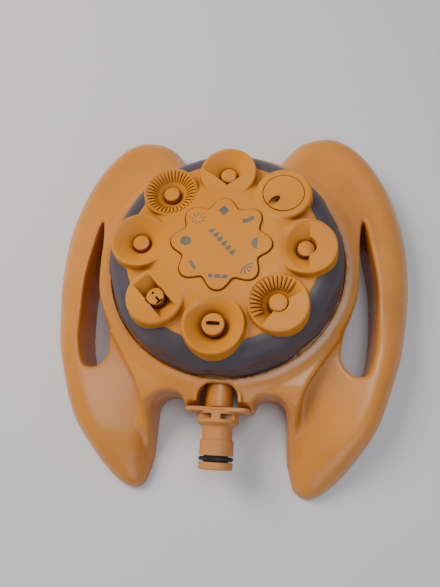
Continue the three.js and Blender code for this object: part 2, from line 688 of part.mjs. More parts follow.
function makeScrew(shaft, z0, z1, head, headZ) {
  const [low, high] = headZ;
  const bar = block(-head * 0.6, head * 0.6, -0.45, 0.45, low, high);
  const recess = union([0, 90].map((a) => bar.rotate([0, 0, a])));
  const up = z0 < low;
  const cut = recess.translate([0, 0, up ? (high - low) * 0.5 : -(high - low) * 0.5]);
  return rod(shaft, z0, z1, 0, 0, 16).add(rod(head, low, high, 0, 0, 24)).subtract(cut);
}

// ---- assembly -----------------------------------------------------------------------------------
const group = new THREE.Group();
group.name = "dial_sprinkler";

function turret(name, body, look) {
  add(name, body.rotate([0, 0, REST_TURN]), look);
}

function add(name, body, look) {
  const mesh = body.translate([0, HUB_Y, 0]).getMesh();
  const g = new THREE.BufferGeometry();
  g.setAttribute("position", new THREE.BufferAttribute(new Float32Array(mesh.vertProperties), 3));
  g.setIndex(new THREE.BufferAttribute(new Uint32Array(mesh.triVerts), 1));
  const flat = g.toNonIndexed();
  flat.computeVertexNormals();
  const piece = new THREE.Mesh(flat, new THREE.MeshStandardMaterial(look));
  piece.name = name;
  group.add(piece);
}

const wing = makeWing();
add("hub_shell", makeHub(), ORANGE);
add("horn_right", horn(wing), ORANGE);
add("horn_left", horn(wing).mirror([1, 0, 0]), ORANGE);
add("leg_right", leg(wing), ORANGE);
add("leg_left", leg(wing).mirror([1, 0, 0]), ORANGE);
add("water_tube", makeTube(), ORANGE);
add("hose_connector", makeConnector(), ORANGE);
add("connector_o_ring", hoopY(RING_R, RING_WIRE_R, RING_Y), RUBBER);
add("inlet_o_ring", hoopY(PIPE_BORE_R + 0.75, INLET_RING_WIRE_R, PIPE_END_Y + 1.6, 24), RUBBER);
for (const [name, side] of [["tube_screw_left", -1], ["tube_screw_right", 1]]) {
  const headZ = [EAR_Z[0] - 2.5, EAR_Z[0] - GAP];
  const screw = makeScrew(EAR_SCREW_R, EAR_Z[0] - 1, DECK_UNDER_Z + 1.6, EAR_HEAD_R, headZ);
  add(name, screw.translate([side * EAR_X, -PORT_R, 0]), STEEL);
}
add("outlet_seal", makeSeal(), RUBBER);
const sealSpring = spring(SEAL_SPRING_R, 0.4, SEAL_SEAT_Z + 0.3, SEAL_Z[0] - 0.3, 3);
add("seal_spring", sealSpring.translate([0, -PORT_R, 0]), STEEL);
add("detent_plunger", makePlunger(), GREY);
const detentSpring = spring(1.8, 0.3, DETENT_FLOOR_Z + 0.3, PLUNGER_Z[0] - 0.3, 4);
add("detent_spring", detentSpring.translate([0, DETENT_R, 0]), STEEL);
turret("dial_skirt", makeSkirt(), CHARCOAL);
turret("port_disc", makePortDisc(), GREY);
turret("nozzle_plate", makePlate(), ORANGE);
turret("jet_disc", placed(makeJetDisc(), CUPS.topRight.angle, PORT_R), ORANGE);
for (const [name, cup] of Object.entries({
  pin_right: CUPS.right, pin_top: CUPS.top, pin_top_left: CUPS.topLeft, pin_left: CUPS.left,
})) {
  turret(name, placed(makePin(BUTTON_R, BUTTON_Z), cup.angle, PORT_R), ORANGE);
}
const highPin = makePin(BUTTON_R + 0.2, HIGH_BUTTON_Z);
turret("pin_bottom_right", placed(highPin, CUPS.bottomRight.angle, PORT_R), ORANGE);
turret("fan_post", placed(makeFanPost(), CUPS.bottom.angle, PORT_R), ORANGE);
turret("jet_barrel", placed(makeJetBarrel(), CUPS.bottomLeft.angle, PORT_R), ORANGE);
add("spindle_washer", makeWasher(), STEEL);
const [point, headFrom, headTo] = SPINDLE_SCREW_Z;
const [shankR, headR] = SPINDLE_SCREW_R;
add("spindle_screw", makeScrew(shankR, point, headFrom + 0.4, headR, [headFrom, headTo]), STEEL);
turret("centre_cap", makeCap(), ORANGE);

export default group;
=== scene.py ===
# Dial lawn sprinkler: the visual model over its CAD frame.
# Lengths are millimetres round the hub axis until a mesh is made. The hub axis stands at
# y = HUB_Y, and the hose connector points along -Y.
import math

import bpy
import numpy as np
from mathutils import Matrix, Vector


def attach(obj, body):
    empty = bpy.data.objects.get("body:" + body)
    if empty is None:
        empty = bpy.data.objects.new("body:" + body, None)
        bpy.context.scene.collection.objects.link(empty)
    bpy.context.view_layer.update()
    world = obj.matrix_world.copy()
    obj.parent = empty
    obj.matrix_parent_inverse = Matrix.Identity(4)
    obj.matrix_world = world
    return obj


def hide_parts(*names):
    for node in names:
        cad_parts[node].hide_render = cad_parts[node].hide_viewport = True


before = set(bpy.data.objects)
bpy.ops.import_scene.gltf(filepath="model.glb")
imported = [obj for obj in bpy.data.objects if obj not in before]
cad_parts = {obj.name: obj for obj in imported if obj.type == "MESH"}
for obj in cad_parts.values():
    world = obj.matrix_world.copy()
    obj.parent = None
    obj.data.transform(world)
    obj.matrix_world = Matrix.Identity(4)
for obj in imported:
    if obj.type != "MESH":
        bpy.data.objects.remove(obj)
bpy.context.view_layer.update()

MM = 0.001
HUB_Y = 11.0
TAU = 2 * math.pi

# Base, over all
HUB_R = 68.0
HUB_ROUND = 4.5
RIM_TOP = 28.2
RIM_IN = 60.9
DECK_Z = 27.0
MOAT_Z = 25.4  # floor of the dark groove round the dial
MOAT_WIDTH = 2
WALL = 2.6

# Base, right half in plan: the outer edge, and the hand slot through the wing
OUTER_EDGE = [
    (22, 60), (30, 74.7), (39.6, 85.5), (52, 89.3), (63, 87.8), (74.3, 79.3), (85.3, 62),
    (92.7, 40), (96, 18), (96, -3), (94, -20), (89, -41.5), (82.3, -60.2), (74.9, -78.3),
    (65.2, -92.8), (56.5, -103.1), (48, -109.6), (40, -112.4), (36, -113.2),
]
OUTER_INSIDE = [(20, -112), (0, -60), (0, 62)]  # closes the outer edge through the middle
SLOT = [
    (73, 25), (75.2, 10), (76.8, -6), (76.6, -20), (74.6, -40), (70.5, -53.5), (66, -56), (61.5, -54),
    (58, -47.5), (59.6, -36), (63.7, -25.6), (67, -15), (68.6, 0), (69.4, 13), (71.2, 24.5),
]
# Raised ground between the legs: from the middle, then down each leg's inner side.
APRON = [
    (0, -40), (57.5, -38), (44, -57.5), (40.2, -64.5), (38.4, -72), (37.6, -84), (37.4, -98),
    (37.6, -116),
]
# The gap between the legs, from the tip of the leg to the cheek beside the connector.
NOTCH = [
    (41.5, -118), (37.4, -111), (35.2, -105), (34.4, -99), (34.1, -90), (34.1, -80), (33.8, -75.5),
    (32.7, -71.6), (29.6, -68.2), (25, -66.9), (20.2, -67.4), (17.5, -69.4), (16.2, -72.9),
]
NOTCH_END = (0, -72.9)
NOTCH_MOUTH = (0, -116)

# Heights along the legs, as (y, z): the apron's top, the wing's valley and the wing's inner edge.
APRON_FALL = [
    (-116, -6), (-104, -2), (-96, 4), (-87, 11.5), (-79, 18), (-74, 22), (-70, 24.8), (-64, 26.5),
    (-58, 26.9), (-30, 27),
]
VALLEY = [
    (-116, 5.5), (-104, 10), (-96, 12), (-87, 12.6), (-80, 13.2), (-71, 14.8), (-60, 17.6),
    (-48, 20.6), (-38, 22.6), (-10, 23),
]
CREST = [(-116, 7), (-104, 13.5), (-92, 19), (-80, 23), (-60, 25.2), (-38, 25), (-10, 25)]

# The wings' top: a crown beside the hub that fades outward, and round edges
LEG_FROM_Y, LEG_FULL_Y = -20, -48  # the crown gives way to the leg's own heights between these
CROWN_Z = 22.2
CROWN_RISE = 4.2
CROWN_FROM_R = 65
CROWN_FADE = 13
WING_ROUND = 15
TIP_ROUND = 12
INNER_ROUND = 2
INNER_ROUND_AT_TIP = 11
APRON_ROUND = 1.8
APRON_ROUND_MORE = 2.4  # added to it at the tips
SLOT_ROUND = 2.2

# Doorway in the hub for the water tube, with a raised lip
DOOR_HALF = 9.3
DOOR_TOP_Y = -62.6
DOOR_CORNER = 6.2
DOOR_ROUND = 0.9
LIP_Z = 27.2
LIP_Y = -66

# Underside
HUB_WALL_TOP = 25
RIB_ANGLES = (35, 90, 145)
RIB_HALF = 1.1
RIB_MIDDLE, RIB_REACH = 40, 27
RIB_FOOT = 9
BOSS_R, BOSS_FOOT = 9, 16
TUBE_GAP = 0.4
TUBE_WAY_Y, TUBE_WAY_HALF, TUBE_WAY_TOP = -52, 16, 25.5
RISER_R = 8.4
SPINDLE_HOLE_R = 2.4

# Click plunger's guide, under the dial
DETENT_R = 30.0
DETENT_BOSS_R = 4.6
DETENT_BOSS_Z = 29.2
DETENT_BORE_R = 2.75
DETENT_FLOOR_Z = 23.4
DETENT_FOOT_Z = 22

# Spindle post on the deck
POST_R = 6.9
POST_BORE = 2.35
POST_FOOT, POST_TOP = 18, 43.2

# Water way
PIPE_Z = 18.6
PORT_R = 40.0
PIPE_R = 6.8
PIPE_BORE = 4.8
PIPE_ENDS = (-72.9, -34)

# Hose connector, by its places along the pipe: middle and half length of each part, and its radius
FLANGE_Y, FLANGE_HALF = -74.4, 1.05
FLANGE_WIDE, FLANGE_HIGH, FLANGE_CORNER = 15.5, 8.6, 5.0
COLLAR_Y, COLLAR_HALF, COLLAR_R = -78.6, 3.9, 9.9
COLLAR_TAPER_Y, COLLAR_TAPER, COLLAR_TAPER_MOST = -80.2, 1.5, 2.8
WINDOW_X, WINDOW_WIDE = 5.2, 3.1
WINDOW_Y, WINDOW_LONG, WINDOW_FROM_H = -77.6, 1.15, 5.6
WAIST_Y, WAIST_HALF, WAIST_R = -84, 6, 7.15
NOSE_Y, NOSE_HALF, NOSE_R, NOSE_ROUND = -94.2, 6.5, 7.95, 1.1
GROOVE_Y, GROOVE_HALF, GROOVE_R = -96, 1.4, 5.8
SPIGOT_Y, SPIGOT_HALF, SPIGOT_R = -74, 3.8, 4.0
BORE_STEP_Y, BORE_OUTSIDE, BORE_INSIDE = -82, 4.6, 2.9
RING_WIRE = 1.0

# Turret
REST_TURN = math.radians(-2)
SKIRT = [
    (60.2, 27.5), (60.2, 29), (60.0, 31.5), (59.5, 34.5), (58.6, 37.4), (57.0, 40.0), (55.0, 42.1),
    (52.4, 43.9), (49.4, 45.0), (45.0, 45.3),
]
SKIRT_INSIDE = [(56.0, 38.2), (57.4, 33), (57.8, 28.1)]
SKIRT_LIP_Z = 38.4
SKIRT_UNDER_CUP = 1.6  # how far the skirt's lip reaches in under the plate's edge
SCALLOP_Z = 35.0
SCALLOP_DEPTH = 2.0
DENT_DEPTH = 1.2
PLATE_TOP = 49.0
PLATE_FOOT = 41.1
WEB_FALL = 3.4  # how far the plate drops from the cap to its edge
CUP_R = 13.9
WEB_R = 47.4
RIM_CARDINAL = 50.1
RIM_DIAGONAL = 49.5
BOWL_FLOOR = 44.2
FACE_Z = 48.9
NOZZLE_R = 4.6
DISC_R = 10.1
CAP_BOTTOM, CAP_TOP = 47.5, 50.0
CAP_R, CAP_WAVE = 21.95, 2.45
CAP_GAP = 0.4
BUTTON_R = 4.0
LOW_BUTTON = 46.4
HIGH_BUTTON = 48.6
INSERT_FOOT = 41.5

MOST_TRIANGLES = 195000  # for one piece


# ---- meshes from formulas -----------------------------------------------------------------------
def smooth_min(a, b, k):
    """The nearer of two distances, blended over a width of k."""
    h = np.clip(0.5 + 0.5 * (b - a) / k, 0, 1)
    return b + (a - b) * h - k * h * (1 - h)


def smooth_max(a, b, k):
    """The further of two distances, blended over a width of k."""
    return -smooth_min(-a, -b, k)


def smoothstep(lo, hi, v):
    """0 at lo, 1 at hi, with an easy start and end; lo may be the larger."""
    t = np.clip((v - lo) / (hi - lo), 0, 1)
    return t * t * (3 - 2 * t)


def direction(degrees):
    """Cosine and sine of an angle."""
    a = math.radians(degrees)
    return math.cos(a), math.sin(a)


def slab(v, middle, half):
    """Distance to the space within half of the middle."""
    return np.abs(v - middle) - half


def raised(d, z, top, r):
    """Plan distance d stood up to height top, its upper edge rounded with radius r."""
    a = d + r
    b = z - (top - r)
    return np.minimum(np.maximum(a, b), 0) + np.hypot(np.maximum(a, 0), np.maximum(b, 0)) - r


def curve(points, closed, steps=6):
    """Catmull-Rom curve through the points."""
    p = np.array(points, float)
    n = len(p)
    out = []
    for i in range(n if closed else n - 1):
        a, b, c, d = (p[(i + k) % n] if closed else p[min(max(i + k, 0), n - 1)] for k in (-1, 0, 1, 2))
        for t in np.arange(steps) / steps:
            out.append(0.5 * ((2 * b) + (c - a) * t + (2 * a - 5 * b + 4 * c - d) * t**2
                              + (3 * b - a - 3 * c + d) * t**3))
    if not closed:
        out.append(p[-1])
    return np.array(out)


def loop_distance(loop, x, y):
    """Signed distance in plan to a closed loop, negative inside."""
    x, y = np.broadcast_arrays(x, y)
    best = np.full(x.shape, 1e9)
    inside = np.zeros(x.shape, bool)
    for (ax, ay), (bx, by) in zip(loop, np.roll(loop, -1, axis=0)):
        ex, ey = bx - ax, by - ay
        wx, wy = x - ax, y - ay
        t = np.clip((wx * ex + wy * ey) / max(ex * ex + ey * ey, 1e-9), 0, 1)
        best = np.minimum(best, (wx - ex * t) ** 2 + (wy - ey * t) ** 2)
        crosses = (ay > y) != (by > y)
        inside ^= crosses & (x < ax + (y - ay) * ex / (ey if abs(ey) > 1e-9 else 1e-9))
    return np.where(inside, -1, 1) * np.sqrt(best)


def neighbours(grid, axis):
    """The grid without its last layer, and without its first, along an axis."""
    near = [slice(None)] * 3
    far = [slice(None)] * 3
    near[axis] = slice(None, -1)
    far[axis] = slice(1, None)
    return grid[tuple(near)], grid[tuple(far)]


def crossing_cells(v, inside):
    """Mean place of the field's zeros on each cell's edges, and how many there are."""
    total = np.zeros([n - 1 for n in v.shape] + [3], np.float32)
    count = np.zeros([n - 1 for n in v.shape], np.int8)
    for axis in range(3):
        a, b = neighbours(v, axis)
        near_in, far_in = neighbours(inside, axis)
        cut = near_in != far_in
        where = np.argwhere(cut)
        place = where.astype(np.float32)
        place[:, axis] += a[cut] / (a[cut] - b[cut])
        others = [k for k in range(3) if k != axis]
        for i in (0, 1):
            for j in (0, 1):
                cell = where.copy()
                cell[:, others[0]] -= i
                cell[:, others[1]] -= j
                ok = (cell >= 0).all(1) & (cell < np.array(count.shape)).all(1)
                c = tuple(cell[ok].T)
                np.add.at(total, c, place[ok])
                np.add.at(count, c, 1)
    return total, count


def crossing_quads(inside, number):
    """One quad round each grid edge that crosses the surface, by the numbers of its four cells."""
    quads = []
    for axis in range(3):
        u, w = [(1, 2), (2, 0), (0, 1)][axis]
        near_in, far_in = neighbours(inside, axis)
        cut = near_in != far_in
        where = np.argwhere(cut)
        start_in = near_in[cut]
        corner = []
        for du, dw in ((0, 0), (1, 0), (1, 1), (0, 1)):
            cell = where.copy()
            cell[:, u] -= du
            cell[:, w] -= dw
            corner.append(number[tuple(cell.T)])
        q = np.stack(corner, 1)
        q[~start_in] = q[~start_in][:, ::-1]
        quads.append(q)
    return np.concatenate(quads)[:, ::-1]


def surface(field, low, high, step):
    """Closed mesh (points, quads) of field = 0, one point in each cell that the surface crosses."""
    axes = [np.arange(a, b + step, step) for a, b in zip(low, high)]
    v = field(axes[0][:, None, None], axes[1][None, :, None], axes[2][None, None, :])
    v = np.broadcast_to(v, [len(a) for a in axes]).astype(np.float32)
    v = np.pad(v, 1, constant_values=10.0)
    origin = np.array([a[0] - step for a in axes])
    inside = v < 0
    total, count = crossing_cells(v, inside)
    used = count > 0
    number = np.full(count.shape, -1, np.int64)
    number[used] = np.arange(used.sum())
    points = total[used] / count[used][:, None] * step + origin
    for _ in range(2):
        points = settle(field, points, step)
    return points, crossing_quads(inside, number)


def settle(field, points, step):
    """Moves each point onto the surface along the field's slope."""
    h = step * 0.2
    x, y, z = points.T
    f = field(x, y, z)
    g = np.stack([
        field(x + h, y, z) - field(x - h, y, z),
        field(x, y + h, z) - field(x, y - h, z),
        field(x, y, z + h) - field(x, y, z - h),
    ], 1) / (2 * h)
    move = -f[:, None] * g / np.maximum((g * g).sum(1), 0.2)[:, None]
    far = np.linalg.norm(move, axis=1)
    limit = step * 0.6
    return points + move * np.minimum(1, limit / np.maximum(far, 1e-9))[:, None]


def piece(name, points, faces, body, slot, material, node=None, turn=0.0, sharp=None):
    """Object from millimetre points round the hub axis, riding on a body."""
    p = np.array(points, float)
    if turn:
        c, s = math.cos(turn), math.sin(turn)
        p[:, 0], p[:, 1] = p[:, 0] * c - p[:, 1] * s, p[:, 0] * s + p[:, 1] * c
    p[:, 1] += HUB_Y
    mesh = bpy.data.meshes.new(name)
    mesh.from_pydata((p * MM).tolist(), [], [list(f) for f in faces])
    mesh.validate()
    mesh.shade_smooth()
    if sharp is not None:
        mesh.set_sharp_from_angle(angle=math.radians(sharp))
    obj = bpy.data.objects.new(name, mesh)
    bpy.context.scene.collection.objects.link(obj)
    mesh.materials.append(material)
    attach(obj, body)
    if node:
        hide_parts(node)
    return obj


def thinned(obj, most):
    """Collapses flat stretches until about most triangles are left."""
    faces = sum(len(f.vertices) - 2 for f in obj.data.polygons)
    if faces > most:
        m = obj.modifiers.new("thin", "DECIMATE")
        m.ratio = most / faces
        apply_modifiers(obj)


def apply_modifiers(obj):
    """Makes the object's modifiers part of its mesh."""
    graph = bpy.context.evaluated_depsgraph_get()
    mesh = bpy.data.meshes.new_from_object(obj.evaluated_get(graph))
    obj.modifiers.clear()
    old = obj.data
    obj.data = mesh
    mesh.name = old.name
    bpy.data.meshes.remove(old)


def rings_mesh(rings, loop=False):
    """Points and faces of a closed skin over rings of equal count.

    The two end rings are capped, or with loop the last ring joins the first.
    """
    n = len(rings[0])
    points = [p for ring in rings for p in ring]
    faces = []
    count = len(rings)
    for k in range(count if loop else count - 1):
        a0 = k * n
        b0 = ((k + 1) % count) * n
        for i in range(n):
            j = (i + 1) % n
            faces.append((a0 + i, a0 + j, b0 + j, b0 + i))
    if not loop:
        faces.append(tuple(reversed(range(n))))
        faces.append(tuple(range((count - 1) * n, count * n)))
    return points, faces


def add_mesh(points, faces, more):
    """Adds the points and faces of one more solid to the lists."""
    start = len(points)
    points += more[0]
    faces += [tuple(i + start for i in face_of) for face_of in more[1]]


def turned(profile, segments):
    """Solid of revolution round the hub axis from a closed (r, z) loop."""
    rings = []
    for k in range(segments):
        a = TAU * k / segments
        rings.append([(r * math.cos(a), r * math.sin(a), z) for r, z in profile])
    return rings_mesh(rings, loop=True)


def rounded(profile, r, steps=4):
    """The closed (r, z) loop with each corner rounded."""
    p = [np.array(q, float) for q in profile]
    out = []
    for i, b in enumerate(p):
        a, c = p[i - 1], p[(i + 1) % len(p)]
        la, lc = np.linalg.norm(a - b), np.linalg.norm(c - b)
        d = min(r, la * 0.45, lc * 0.45)
        s, e = b + (a - b) / la * d, b + (c - b) / lc * d
        for t in np.linspace(0, 1, steps + 1):
            out.append(tuple((1 - t) ** 2 * s + 2 * t * (1 - t) * b + t * t * e))
    return out


def stacked(profile, segments, at):
    """Solid of revolution round the upright through a place, from bottom to top, with flat ends."""
    rings = []
    for r, z in profile:
        turn = [TAU * k / segments for k in range(segments)]
        rings.append([(at[0] + r * math.cos(a), at[1] + r * math.sin(a), z) for a in turn])
    return rings_mesh(rings)


class Plan:
    """Signed distance to a closed plan curve, looked up from a grid."""

    STEP = 0.5
    REACH = 124.0

    def __init__(self, loop):
        g = np.arange(-self.REACH, self.REACH + self.STEP, self.STEP)
        self.values = loop_distance(loop, g[:, None], g[None, :])

    def __call__(self, x, y):
        x, y = np.broadcast_arrays(x, y)
        last = self.values.shape[0] - 1.001
        i = np.clip((x + self.REACH) / self.STEP, 0, last)
        j = np.clip((y + self.REACH) / self.STEP, 0, last)
        a, b = i.astype(int), j.astype(int)
        u, w = i - a, j - b
        v = self.values
        low = v[a, b] * (1 - u) + v[a + 1, b] * u
        high = v[a, b + 1] * (1 - u) + v[a + 1, b + 1] * u
        return low * (1 - w) + high * w


# ---- materials ----------------------------------------------------------------------------------
CLOUD_SCALE, CLOUD_DETAIL = 22, 4
SCUFF_SCALE, SCUFF_DETAIL = 60, 6
GRAIN_SCALE, GRAIN_DEPTH = 1800, 0.00012
TURNING_SCALE = 900


def new_material(name):
    """A material, its node tree and its main shader."""
    m = bpy.data.materials.new(name)
    m.use_nodes = True
    return m, m.node_tree, m.node_tree.nodes["Principled BSDF"]


def noise(tree, scale, detail=2, where=None):
    """Output of a noise, placed by the output where, or by the object's box without it."""
    node = tree.nodes.new("ShaderNodeTexNoise")
    node.inputs["Scale"].default_value = scale
    node.inputs["Detail"].default_value = detail
    if where:
        tree.links.new(where, node.inputs["Vector"])
    return node.outputs["Fac"]


def remapped(tree, value, old=(0, 1), new=(0, 1)):
    """A value whose range old is stretched to the range new, and held inside it."""
    node = tree.nodes.new("ShaderNodeMapRange")
    for name, limit in zip(("From Min", "From Max", "To Min", "To Max"), (*old, *new)):
        node.inputs[name].default_value = limit
    tree.links.new(value, node.inputs["Value"])
    return node.outputs["Result"]


def mixed(tree, a, b, factor):
    """Colour between a, which is a colour or another node's output, and the colour b."""
    node = tree.nodes.new("ShaderNodeMix")
    node.data_type = "RGBA"
    if isinstance(a, tuple):
        node.inputs["A"].default_value = (*a, 1)
    else:
        tree.links.new(a, node.inputs["A"])
    node.inputs["B"].default_value = (*b, 1)
    tree.links.new(factor, node.inputs["Factor"])
    return node.outputs["Result"]


def darkened_in_corners(tree, colour, corner_shade, amount, reach):
    """The colour turned towards the shade colour in corners nearer than reach: painted shade."""
    corner = tree.nodes.new("ShaderNodeAmbientOcclusion")
    corner.inputs["Distance"].default_value = reach
    corner.samples = 6
    return mixed(tree, colour, corner_shade, remapped(tree, corner.outputs["AO"], (0.15, 0.85), (amount, 0)))


def moulded(name, dark, light, rough, grain=0.12, corner_shade=None, corner_shade_amount=0.0, reach=0.004, shine=0.32):
    """Moulded plastic: clouded colour, fine grain, uneven gloss and painted shade that darkens the corners.
    """
    m, tree, shader = new_material(name)
    where = tree.nodes.new("ShaderNodeTexCoord").outputs["Object"]
    cloud = noise(tree, CLOUD_SCALE, CLOUD_DETAIL, where)
    colour = mixed(tree, dark, light, remapped(tree, cloud, (0.32, 0.68)))
    # Painted shade: the colour darkens in corners, creases and hollows.
    if corner_shade:
        colour = darkened_in_corners(tree, colour, corner_shade, corner_shade_amount, reach)
    tree.links.new(colour, shader.inputs["Base Color"])
    scuff = noise(tree, SCUFF_SCALE, SCUFF_DETAIL, where)
    gloss = remapped(tree, scuff, (0.3, 0.7), (rough - 0.07, rough + 0.09))
    tree.links.new(gloss, shader.inputs["Roughness"])
    bump = tree.nodes.new("ShaderNodeBump")
    bump.inputs["Strength"].default_value = grain
    bump.inputs["Distance"].default_value = GRAIN_DEPTH
    tree.links.new(noise(tree, GRAIN_SCALE, where=where), bump.inputs["Height"])
    tree.links.new(bump.outputs["Normal"], shader.inputs["Normal"])
    shader.inputs["Specular IOR Level"].default_value = shine
    return m


def metal(name, colour, rough):
    """Zinc-plated steel with fine turning marks."""
    m, tree, shader = new_material(name)
    marks = noise(tree, TURNING_SCALE, where=tree.nodes.new("ShaderNodeTexCoord").outputs["Object"])
    tree.links.new(remapped(tree, marks, new=(rough - 0.08, rough + 0.12)), shader.inputs["Roughness"])
    dull = tuple(c * 0.85 for c in colour)
    tree.links.new(mixed(tree, dull, colour, marks), shader.inputs["Base Color"])
    shader.inputs["Metallic"].default_value = 1
    return m


# The orange plastics carry painted shade, darker in their corners, creases and hollows; the base's reaches
# widest.
orange = moulded("orange_plastic", (0.52, 0.178, 0.008), (0.61, 0.224, 0.015), 0.46,
                 corner_shade=(0.17, 0.05, 0.01), corner_shade_amount=0.85, reach=0.006)
# A paler, bluer orange for the hose connector.
orange_pale = moulded("orange_plastic_pale", (0.46, 0.180, 0.045), (0.54, 0.222, 0.066), 0.48,
                       corner_shade=(0.17, 0.05, 0.02), corner_shade_amount=0.6, reach=0.004)
orange_base = moulded("orange_plastic_base", (0.47, 0.160, 0.014), (0.56, 0.204, 0.022), 0.33,
                      corner_shade=(0.34, 0.085, 0.008), corner_shade_amount=0.7, reach=0.018, shine=0.7)
charcoal = moulded("charcoal_plastic", (0.052, 0.042, 0.050), (0.080, 0.065, 0.076), 0.38, grain=0.2)
grey = moulded("grey_plastic", (0.035, 0.035, 0.038), (0.055, 0.055, 0.058), 0.5)
rubber = moulded("black_rubber", (0.010, 0.010, 0.011), (0.02, 0.02, 0.022), 0.45, grain=0.3)
ink = moulded("grey_print", (0.085, 0.075, 0.06), (0.21, 0.165, 0.11), 0.6)
steel = metal("zinc_steel", (0.55, 0.56, 0.58), 0.34)


# ---- base ---------------------------------------------------------------------------------------
BASE_BOX = (-99, -115, -1), (99, 93, 29.5)
BASE_STEP = 0.8

outer_plan = Plan(np.vstack([curve(OUTER_EDGE, closed=False), OUTER_INSIDE]))
slot_plan = Plan(curve(SLOT, closed=True))
notch_line = curve(NOTCH, closed=False, steps=5)
apron_plan = Plan(np.vstack([APRON[:1], curve(APRON[1:], closed=False), notch_line, [NOTCH_END]]))
notch_plan = Plan(np.vstack([notch_line, [NOTCH_END, NOTCH_MOUTH]]))


def height_along(table, y):
    """Height at y on a smooth curve through the table's points."""
    line = curve(table, closed=False, steps=12)
    return np.interp(y, line[:, 0], line[:, 1])


def wing_top(r, y, outer, apron):
    """Height of the wings: a crown beside the hub, and a valley with a raised inner side in the legs."""
    near = smoothstep(LEG_FROM_Y, LEG_FULL_Y, y)
    fade = np.exp(-(np.maximum(r - CROWN_FROM_R, 0) / CROWN_FADE) ** 2)
    crown = CROWN_Z + CROWN_RISE * fade * (1 - near)
    rise = np.maximum(apron, 0) / (np.maximum(apron, 0) + np.maximum(-outer - 4, 0) + 1)
    valley = height_along(VALLEY, y)
    leg = valley + (height_along(CREST, y) - valley) * (1.15 * rise - 0.15 * rise**4)
    return crown * (1 - near) + leg * near


def wing_body(y, z, top, outer, notch):
    """The wings and legs, rounded more at the outer edge than beside the gap between the legs."""
    bend = np.minimum(WING_ROUND - (WING_ROUND - TIP_ROUND) * smoothstep(-10, -90, y), top - 2)
    wing = raised(outer, z, top, bend)
    more = (INNER_ROUND_AT_TIP - INNER_ROUND) * smoothstep(-74, -92, y)
    inner_bend = np.minimum(INNER_ROUND + more, top - 1)
    return smooth_max(wing, raised(notch, z, top + 0.4, inner_bend), 1 + 6 * smoothstep(-86, -106, y))


def apron_body(y, z, outer, apron):
    """The raised ground between the legs, falling towards their tips."""
    soft = APRON_ROUND + APRON_ROUND_MORE * smoothstep(-62, -76, y)
    return smooth_max(raised(apron, z, height_along(APRON_FALL, y), soft), outer + 1.5, 2)


def doorway(s, y):
    """Plan distance to the doorway: straight sides and round corners at the hub."""
    qx = s - (DOOR_HALF - DOOR_CORNER)
    qy = y - (DOOR_TOP_Y - DOOR_CORNER)
    corner = np.hypot(np.maximum(qx, 0), np.maximum(qy, 0))
    return corner + np.minimum(np.maximum(qx, qy), 0) - DOOR_CORNER


def base_outer(x, y, z):
    """The base as a solid block with its top surface, doorway and slots, and no floor."""
    s = np.abs(x)
    r = np.hypot(x, y)
    outer = outer_plan(s, y)
    apron = apron_plan(s, y)
    wing = wing_body(y, z, wing_top(r, y, outer, apron), outer, -notch_plan(s, y))
    hub = raised(r - HUB_R, z, RIM_TOP, HUB_ROUND)
    ground = apron_body(y, z, outer, apron)
    body = smooth_min(smooth_min(wing, hub, 3.2), ground, 2.2 + 2.4 * smoothstep(-62, -80, y))
    door = doorway(s, y)
    lip = np.maximum(raised(slab(door, 1.0, 1.0), z, LIP_Z, DOOR_ROUND), slab(y, LIP_Y, 5))
    body = smooth_min(body, lip, 1.2)
    body = smooth_max(body, -door, DOOR_ROUND)
    body = smooth_max(body, -slot_plan(s, y), SLOT_ROUND)
    recess = np.maximum(r - RIM_IN, DECK_Z - z)
    body = smooth_max(body, -recess, 0.5)
    over_tube = (1 - smoothstep(9, 12, s)) * (y < 0)
    moat = np.abs(r - RIM_IN + MOAT_WIDTH / 2) - MOAT_WIDTH / 2
    return np.maximum(body, -np.maximum(moat, MOAT_Z + 2 * over_tube - z))


def base_shell(x, y, z):
    """The base as the thin moulding it is, open below, with its ribs, bosses and bores."""
    s = np.abs(x)
    r = np.hypot(x, y)
    body = base_outer(x, y, z)
    hollow = body + WALL
    ring = np.maximum(slab(r, HUB_R - WALL / 2, WALL / 2), z - HUB_WALL_TOP)
    shell = np.maximum(body, -hollow)
    shell = np.minimum(shell, np.maximum(ring, body))
    for angle in RIB_ANGLES:
        c, n = direction(angle)
        across = np.abs(-x * n + y * c) - RIB_HALF
        wall = np.maximum(across, slab(x * c + y * n, RIB_MIDDLE, RIB_REACH))
        rib = np.maximum(wall, np.maximum(RIB_FOOT - z, z - HUB_WALL_TOP))
        shell = smooth_min(shell, rib, 0.8)
    boss = np.maximum(r - BOSS_R, np.maximum(BOSS_FOOT - z, z - HUB_WALL_TOP))
    shell = smooth_min(shell, boss, 1)
    way = np.maximum(slab(y, TUBE_WAY_Y, TUBE_WAY_HALF), z - TUBE_WAY_TOP)
    tube_way = np.maximum(s - PIPE_R - TUBE_GAP, way)
    riser = np.hypot(x, y + PORT_R) - RISER_R
    shell = np.maximum(shell, -np.minimum(tube_way, riser))
    click = np.hypot(x, y - DETENT_R)
    guide = np.maximum(click - DETENT_BOSS_R, np.maximum(z - DETENT_BOSS_Z, DETENT_FOOT_Z - z))
    bore = np.maximum(click - DETENT_BORE_R, DETENT_FLOOR_Z - z)
    shell = np.maximum(smooth_min(shell, guide, 0.4), -bore)
    shell = np.maximum(shell, -(r - SPINDLE_HOLE_R))
    return np.maximum(shell, -z)


def make_base():
    points, quads = surface(base_shell, *BASE_BOX, BASE_STEP)
    base = piece("base_moulding", points, quads, "base", "orange_plastic", orange_base, node="hub_shell")
    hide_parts("horn_right", "horn_left", "leg_right", "leg_left")
    thinned(base, MOST_TRIANGLES)
    base.data.set_sharp_from_angle(angle=math.radians(38))
    post = [(POST_BORE, POST_FOOT), (POST_R, POST_FOOT), (POST_R, POST_TOP), (POST_BORE, POST_TOP)]
    piece("spindle_post", *turned(rounded(post, 0.4), 64), "base", "orange_plastic", orange_base)


make_base()


